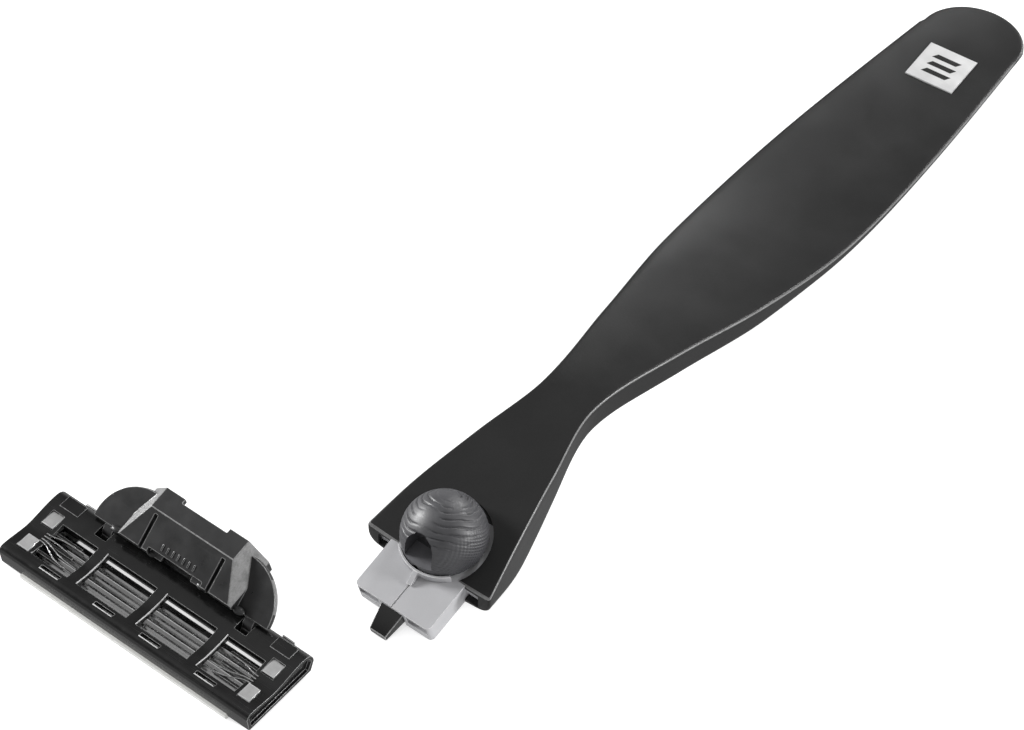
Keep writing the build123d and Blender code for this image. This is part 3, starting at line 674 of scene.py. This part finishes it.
# ---------------------------------------------------------------- parts finished from their CAD shape
def on_facet(middle, normal):
    """The two slanting side faces of the yoke's raised middle, which take a painted reflection."""
    slanting = 0.55 < abs(normal.x) < 0.97 and normal.z > 0.15
    return slanting and middle.z > HEAD.z - 1.0 * MM


def behind_front_edge(middle, normal):
    return (to_dock @ middle).y > 0


soften("connector", 0.14, segments=3)
ejector = soften("ejector_fork", 0.05)
recolour(ejector, FINISH["button_grey"], behind_front_edge)
soften("plunger", 0.12, segments=3)
yoke = soften("yoke", 0.09, segments=2, clamp=False)
# the slanting faces take a far paler finish than the black yoke: a painted reflection of the bright
# surroundings
YOKE_FACET_PAINTED_REFLECTION = surface("yoke_facet_painted_reflection", 0.20, 0.30, grain=0.12, depth=0.006, stretch=(1, 0.3, 0.3), blotch=1.4,
                vary=0.35, rough_vary=0.08, scratch=0.15)
recolour(yoke, YOKE_FACET_PAINTED_REFLECTION, on_facet)
soften("blade_housing", 0.06, segments=2, clamp=False)
soften("clip_left", 0.07)
soften("clip_right", 0.07)
for kept in ("label_plate", "blade_1", "blade_2", "blade_3", "rubber_guard", "lubricating_strip"):
    target = frame["nodes"][kept]
    target.data.materials.clear()
    target.data.materials.append(FINISH[SLOT_OF[kept]])


def coil(node):
    """Copy of a CAD spring in spring steel, riding with the handle; it stands for the spring."""
    made = placed(node + "_coil", frame["nodes"][node].data.copy())
    tidy(made.data, 50)
    dress(made, "handle", "spring_steel", node)
    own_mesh(made)


coil("button_spring")
coil("plunger_spring")

# ---------------------------------------------------------------- small details
def slab(name, outline, low, high, place, width, body, slot):
    """Small moulded piece: an outline extruded from low to high, its edges rounded by width."""
    made = prism(name, outline, low, high, place)
    rounded(made, width, segments=2)
    tidy(made.data)
    even_shading(made)
    return dress(made, body, slot)


def bead(name, points, radius, body, slot):
    """Round or wire-like line through the points, as a mesh."""
    curve = bpy.data.curves.new(name, "CURVE")
    curve.dimensions = "3D"
    curve.bevel_depth = radius * MM
    curve.bevel_resolution = 3
    curve.use_fill_caps = True
    curve.resolution_u = 8
    spline = curve.splines.new("NURBS")
    spline.points.add(len(points) - 1)
    for target, point in zip(spline.points, points):
        target.co = (*point, 1.0)
    spline.order_u = 3
    spline.use_endpoint_u = True
    line = placed(name, curve)
    mesh = baked(line, name)
    bpy.data.objects.remove(line)
    made = placed(name, mesh)
    tidy(made.data, 50)
    return dress(made, body, slot)


BLADE_Y = (-28.75, -27.0, -25.25)
BLADE_HALF_L = 19.2
BLADE_ROOT_Z = -4.45
BLADE_SLOPE = math.radians(19.0)
SUPPORT_GAUGE = 0.3
SUPPORT_REACH = 1.2
SUPPORT_LEG_TOP_Z = -3.25
BEND_R = 0.80                 # outside of the bend between a support's leg and its platform
BEND_STEPS = 10


def support_outline(root_y):
    """Side view of a bent steel bar: leg, round bend, sloping platform."""
    along = Vector((math.cos(BLADE_SLOPE), -math.sin(BLADE_SLOPE)))
    out = Vector((math.sin(BLADE_SLOPE), math.cos(BLADE_SLOPE)))
    heel = Vector((root_y, BLADE_ROOT_Z))
    foot = Vector((root_y, SUPPORT_LEG_TOP_Z))
    toe = heel + along * SUPPORT_REACH
    before, after = heel + Vector((0, BEND_R)), heel + along * BEND_R
    inner_heel = heel + Vector((SUPPORT_GAUGE, SUPPORT_GAUGE * 1.05))
    through = Vector((SUPPORT_GAUGE, 0))
    outer = bend(before, heel, after, BEND_STEPS)
    inner = bend(before + through, inner_heel, after + out * SUPPORT_GAUGE, BEND_STEPS)
    points = [foot] + outer + [toe, toe + out * SUPPORT_GAUGE] + inner[::-1] + [foot + through]
    return [tuple(point) for point in points]


for number, root_y in enumerate(BLADE_Y, 1):
    outline = support_outline(root_y)
    made = prism(f"support_{number}", outline, -BLADE_HALF_L, BLADE_HALF_L,
                 lambda u, v, w: at(CART_X + w, u, v))
    even_shading(made)
    dress(made, f"blade_pack_{number}", "support_steel", f"blade_support_{number}")

# details on the cartridge: x from its middle, y and z from the head datum
FRONT_CREST, LOWEST, BACK_CREST = (-30.9, -2.0), (-26.6, -2.4), (-20.8, -1.65)
BAR_X = (-10.4, 0.0, 10.4)
BAR_RIB_OFFSET = 0.72         # the rib lies on the right edge of its crossbar
BAR_RIB_Y = (-29.75, -23.6)
BAR_RIB_W, BAR_RIB_H = 0.20, 0.14
RIB_SUNK = -0.12
RAIL_RIB_X = (-13.5, -4.0, 4.0, 13.5)
RAIL_RIB_HALF_L = 1.65
RAIL_RIB_Y = (-30.92, -30.74)
END_BLOCK_X, END_BLOCK_Y, END_BLOCK_Z = (16.7, 20.0), (-21.9, -19.9), (-2.3, -1.58)
END_STEP_X, END_STEP_Y, END_STEP_Z = (17.5, 19.2), (-22.9, -21.8), (-2.6, -1.95)
FINGER_Y = ((-28.7, -27.35), (-27.75, -26.95), (-26.5, -26.45), (-25.3, -25.95))   # (root, tip)
FINGER_R = 0.10
END_RIDGE_X = 21.12
END_RIDGE = ((-30.9, -4.0), (-30.2, -3.1), (-28.6, -3.1), (-26.4, -3.5), (-23.6, -3.4), (-21.6, -2.5),
             (-20.2, -2.9))
END_RIDGE_R = 0.14


def housing_top(y):
    """Height of the housing's top between its rails."""
    first, second = (FRONT_CREST, LOWEST) if y < LOWEST[0] else (LOWEST, BACK_CREST)
    t = (y - first[0]) / (second[0] - first[0])
    return first[1] + (second[1] - first[1]) * (1 - math.cos(math.pi * t)) / 2


def across_housing(u, v, w):
    return at(CART_X + u, v, w)


def over_housing(u, v, w):
    """w is measured up from the housing's curved top."""
    return at(CART_X + u, v, housing_top(v) + w)


def rib_over(name, x, y, width, height):
    """Thin ridge lying along the housing's curved top from y[0] to y[1]."""
    steps = 12
    edge = [(x, y[0] + (y[1] - y[0]) * i / steps) for i in range(steps + 1)]
    outline = edge + [(x + width, v) for _, v in reversed(edge)]
    return slab(name, outline, RIB_SUNK, height, over_housing, width / 4, "blade_unit", "housing_black")


def upper_faces(middle, normal):
    return normal.z > 0.5


def finger_path(root, tip, way):
    """Route of a spring finger from its crossbar to its end block, sinking into both."""
    route = ((11.6, root, -2.62), (14.2, root - 0.05, -2.45), (16.2, (root + tip) / 2 + 0.1, -2.32),
             (17.4, tip, -2.28), (18.4, tip, -2.30))
    return [at(CART_X + way * x, y, z) for x, y, z in route]


def cartridge_end(side, way):
    """Moulded blocks, spring fingers and end ridge of one end; way is -1 at the left and 1 at the right."""
    slab(f"end_block_{side}", rectangle(sorted(way * x for x in END_BLOCK_X), END_BLOCK_Y), *END_BLOCK_Z,
         across_housing, 0.08, "blade_unit", "housing_black")
    slab(f"end_step_{side}", rectangle(sorted(way * x for x in END_STEP_X), END_STEP_Y), *END_STEP_Z,
         across_housing, 0.10, "blade_unit", "housing_black")
    for number, (root, tip) in enumerate(FINGER_Y, 1):
        path = finger_path(root, tip, way)
        bead(f"finger_{side}_{number}", path, FINGER_R, "blade_unit", "support_steel")
    ridge = [at(CART_X + way * END_RIDGE_X, y, z) for y, z in END_RIDGE]
    bead(f"end_ridge_{side}", ridge, END_RIDGE_R, "blade_unit", "housing_black")


# the upper faces of the ribs take a pale finish: a painted highlight along each rib's crest
RIB_CREST_PAINTED_HIGHLIGHT = surface("rib_crest_painted_highlight", 0.50, 0.30, grain=0.12, depth=0.003, blotch=0.9, vary=0.35)
for number, bar in enumerate(BAR_X, 1):
    rib = rib_over(f"bar_rib_{number}", bar + BAR_RIB_OFFSET, BAR_RIB_Y, BAR_RIB_W, BAR_RIB_H)
    recolour(rib, RIB_CREST_PAINTED_HIGHLIGHT, upper_faces)
for number, x in enumerate(RAIL_RIB_X, 1):
    outline = rectangle((x - RAIL_RIB_HALF_L, x + RAIL_RIB_HALF_L), RAIL_RIB_Y)
    rib = slab(f"rail_rib_{number}", outline, -0.3, 0.12, over_housing, 0.04, "blade_unit", "housing_black")
    recolour(rib, RIB_CREST_PAINTED_HIGHLIGHT, upper_faces)
for side, way in (("left", -1), ("right", 1)):
    cartridge_end(side, way)

PLATE_Y, PLATE_Z, PLATE_TILT = -20.5, -1.0, math.radians(40)


def on_plate(u, s, n):
    """Point by the yoke's sloping plate: u across, s up its slope, n out of its upper face."""
    return at(CART_X + u, PLATE_Y + s * math.cos(PLATE_TILT) - n * math.sin(PLATE_TILT),
              PLATE_Z + s * math.sin(PLATE_TILT) + n * math.cos(PLATE_TILT))


GRIP_RIBS = 7
GRIP_PITCH = 0.9
GRIP_HALF_W = 0.13
for number in range(GRIP_RIBS):
    x = (number - (GRIP_RIBS - 1) / 2) * GRIP_PITCH
    slab(f"grip_rib_{number + 1}", rectangle((x - GRIP_HALF_W, x + GRIP_HALF_W), (1.35, 2.25)), 1.6, 1.97,
         on_plate, 0.05, "yoke", "yoke_black")


BOSS_AROUND, BOSS_DOWN = 28, 16


def boss(name, centre, size):
    """Low rounded boss with a slight swell across. Its points are listed ring by ring, so that they come in
    the same order each run."""
    verts = [at(centre[0], centre[1], centre[2] + size[2])]
    for i in range(1, BOSS_DOWN):
        drop = math.pi * i / BOSS_DOWN
        for j in range(BOSS_AROUND):
            turn = 2 * math.pi * j / BOSS_AROUND
            swell = 1 + 0.08 * math.cos(2 * turn)
            verts.append(at(centre[0] + math.sin(drop) * math.cos(turn) * size[0] * swell,
                            centre[1] + math.sin(drop) * math.sin(turn) * size[1],
                            centre[2] + math.cos(drop) * size[2]))
    verts.append(at(centre[0], centre[1], centre[2] - size[2]))
    faces = []
    last = len(verts) - 1
    for j in range(BOSS_AROUND):
        beside = (j + 1) % BOSS_AROUND
        faces.append([0, 1 + j, 1 + beside])
        for i in range(BOSS_DOWN - 2):
            upper, lower = 1 + i * BOSS_AROUND, 1 + (i + 1) * BOSS_AROUND
            faces.append([upper + j, lower + j, lower + beside, upper + beside])
        faces.append([last, last - BOSS_AROUND + beside, last - BOSS_AROUND + j])
    made = mesh_object(name, verts, faces)
    tidy(made.data, 60)
    return dress(made, "yoke", "yoke_black")


BOSS_X = (-10.6, -4.3, 4.3, 10.6)
BOSS_Y, BOSS_Z = -20.75, -0.42            # high enough for the housing to swing under it
BOSS_SIZE = (0.85, 0.6, 0.40)
for number, x in enumerate(BOSS_X, 1):
    boss(f"yoke_boss_{number}", (CART_X + x, BOSS_Y, BOSS_Z), BOSS_SIZE)

# three plain slanting bars on the inlay
BAR_PITCH = 1.7
BAR_HALF_H = 0.45
BAR_HALF_L = 2.3
BAR_SLANT = 0.6
for number in range(3):
    v = (number - 1) * BAR_PITCH
    outline = [(-BAR_HALF_L, v - BAR_HALF_H), (BAR_HALF_L - BAR_SLANT, v - BAR_HALF_H),
               (BAR_HALF_L, v + BAR_HALF_H), (BAR_SLANT - BAR_HALF_L, v + BAR_HALF_H)]
    slab(f"label_bar_{number + 1}", outline, LABEL_TOP_Z - 0.05, LABEL_TOP_Z + 0.012, on_label, 0.01,
         "handle", "handle_black")

# ---------------------------------------------------------------- stage, light and camera
FLOOR_HALF = 3.0
PAINTED_SHADOW_REACH = 3.0 * MM      # the floor's glow is dimmed where something stands this close over it: a painted shadow
# (sine of the height over the horizon, brightness); glossy surfaces see the lower half in place of the floor
SKY_STEPS = [(-0.9, 0.40), (-0.05, 0.62), (0.0, 1.0), (0.2, 0.42), (0.5, 0.16), (0.72, 0.22), (0.88, 0.48),
             (1.0, 0.52)]


def pale_floor():
    corners = [(-FLOOR_HALF, -FLOOR_HALF, 0), (FLOOR_HALF, -FLOOR_HALF, 0), (FLOOR_HALF, FLOOR_HALF, 0),
               (-FLOOR_HALF, FLOOR_HALF, 0)]
    made = mesh_object("stage_floor", corners, [[0, 1, 2, 3]])
    finish = bpy.data.materials.new("stage_white")
    finish.use_nodes = True
    tree = finish.node_tree
    shader = tree.nodes["Principled BSDF"]
    shader.inputs["Base Color"].default_value = rgb(0.45)
    shader.inputs["Roughness"].default_value = 0.8
    shader.inputs["Emission Color"].default_value = rgb(1.0)
    # ambient occlusion dims the floor's glow under and beside the razor: a painted contact shadow
    open_sky = add(tree, "ShaderNodeAmbientOcclusion", {"Distance": PAINTED_SHADOW_REACH}, samples=8).outputs["AO"]
    glow_with_painted_shadow = add(tree, "ShaderNodeMapRange", {0: open_sky, 1: 0.05, 2: 0.45, 3: 0.25, 4: 0.88}).outputs[0]
    tree.links.new(glow_with_painted_shadow, shader.inputs["Emission Strength"])
    made.data.materials.append(finish)
    made.visible_glossy = False


def studio_sky():
    """Soft light all round, brightest at the horizon."""
    world = bpy.data.worlds.new("studio")
    bpy.context.scene.world = world
    world.use_nodes = True
    sky = world.node_tree
    backdrop = sky.nodes["Background"]
    direction = add(sky, "ShaderNodeTexCoord").outputs["Generated"]
    height_of = add(sky, "ShaderNodeSeparateXYZ", {0: direction}).outputs["Z"]
    share_up = add(sky, "ShaderNodeMapRange", {0: height_of, 1: -1.0, 2: 1.0, 3: 0.0, 4: 1.0}).outputs[0]
    ramp = add(sky, "ShaderNodeValToRGB", {0: share_up})
    while len(ramp.color_ramp.elements) < len(SKY_STEPS):
        ramp.color_ramp.elements.new(0.5)
    for element, (height, level) in zip(ramp.color_ramp.elements, SKY_STEPS):
        element.position = (height + 1) / 2
        element.color = rgb(level)
    sky.links.new(ramp.outputs["Color"], backdrop.inputs["Color"])
    backdrop.inputs["Strength"].default_value = 1.0


def softbox(name, place, aim, size, power):
    lamp = bpy.data.lights.new(name, "AREA")
    lamp.shape = "RECTANGLE"
    lamp.size, lamp.size_y = size
    lamp.energy = power
    made = placed(name, lamp)
    made.location = place
    made.rotation_mode = "QUATERNION"
    made.rotation_quaternion = (Vector(aim) - Vector(place)).to_track_quat("-Z", "Y")


AZIMUTH = math.radians(38.5)
ELEVATION = math.radians(49)
LENS = 115.4
HEAD_OFF_AXIS = Vector((-0.010895, -0.025452, 0.4233))  # head datum as the camera sees it: right, up, ahead


def place_camera():
    right_way = Vector((math.cos(AZIMUTH), math.sin(AZIMUTH), 0))
    up_way = Vector((-math.sin(AZIMUTH) * math.sin(ELEVATION), math.cos(AZIMUTH) * math.sin(ELEVATION),
                     math.cos(ELEVATION)))
    ahead = Vector((-math.sin(AZIMUTH) * math.cos(ELEVATION), math.cos(AZIMUTH) * math.cos(ELEVATION),
                    -math.sin(ELEVATION)))
    eye = HEAD - right_way * HEAD_OFF_AXIS.x - up_way * HEAD_OFF_AXIS.y - ahead * HEAD_OFF_AXIS.z
    lens = bpy.data.cameras.new("camera")
    lens.sensor_width = 36
    lens.lens = LENS
    lens.clip_start = 0.01
    camera = placed("camera", lens)
    turn = Matrix((right_way, up_way, -ahead)).transposed().to_4x4()
    camera.matrix_world = Matrix.Translation(eye) @ turn
    bpy.context.scene.camera = camera


pale_floor()
studio_sky()
softbox("key_right", (0.60, 0.24, 0.26), (0, 0, 0), (0.16, 0.12), 3.4)
softbox("back", (-0.04, 0.60, 0.42), (0, 0.03, 0), (0.12, 0.12), 2.3)
softbox("left", (-0.55, -0.18, 0.26), (0, -0.03, 0), (0.20, 0.14), 5.0)
place_camera()
bpy.context.scene.view_settings.view_transform = "Standard"
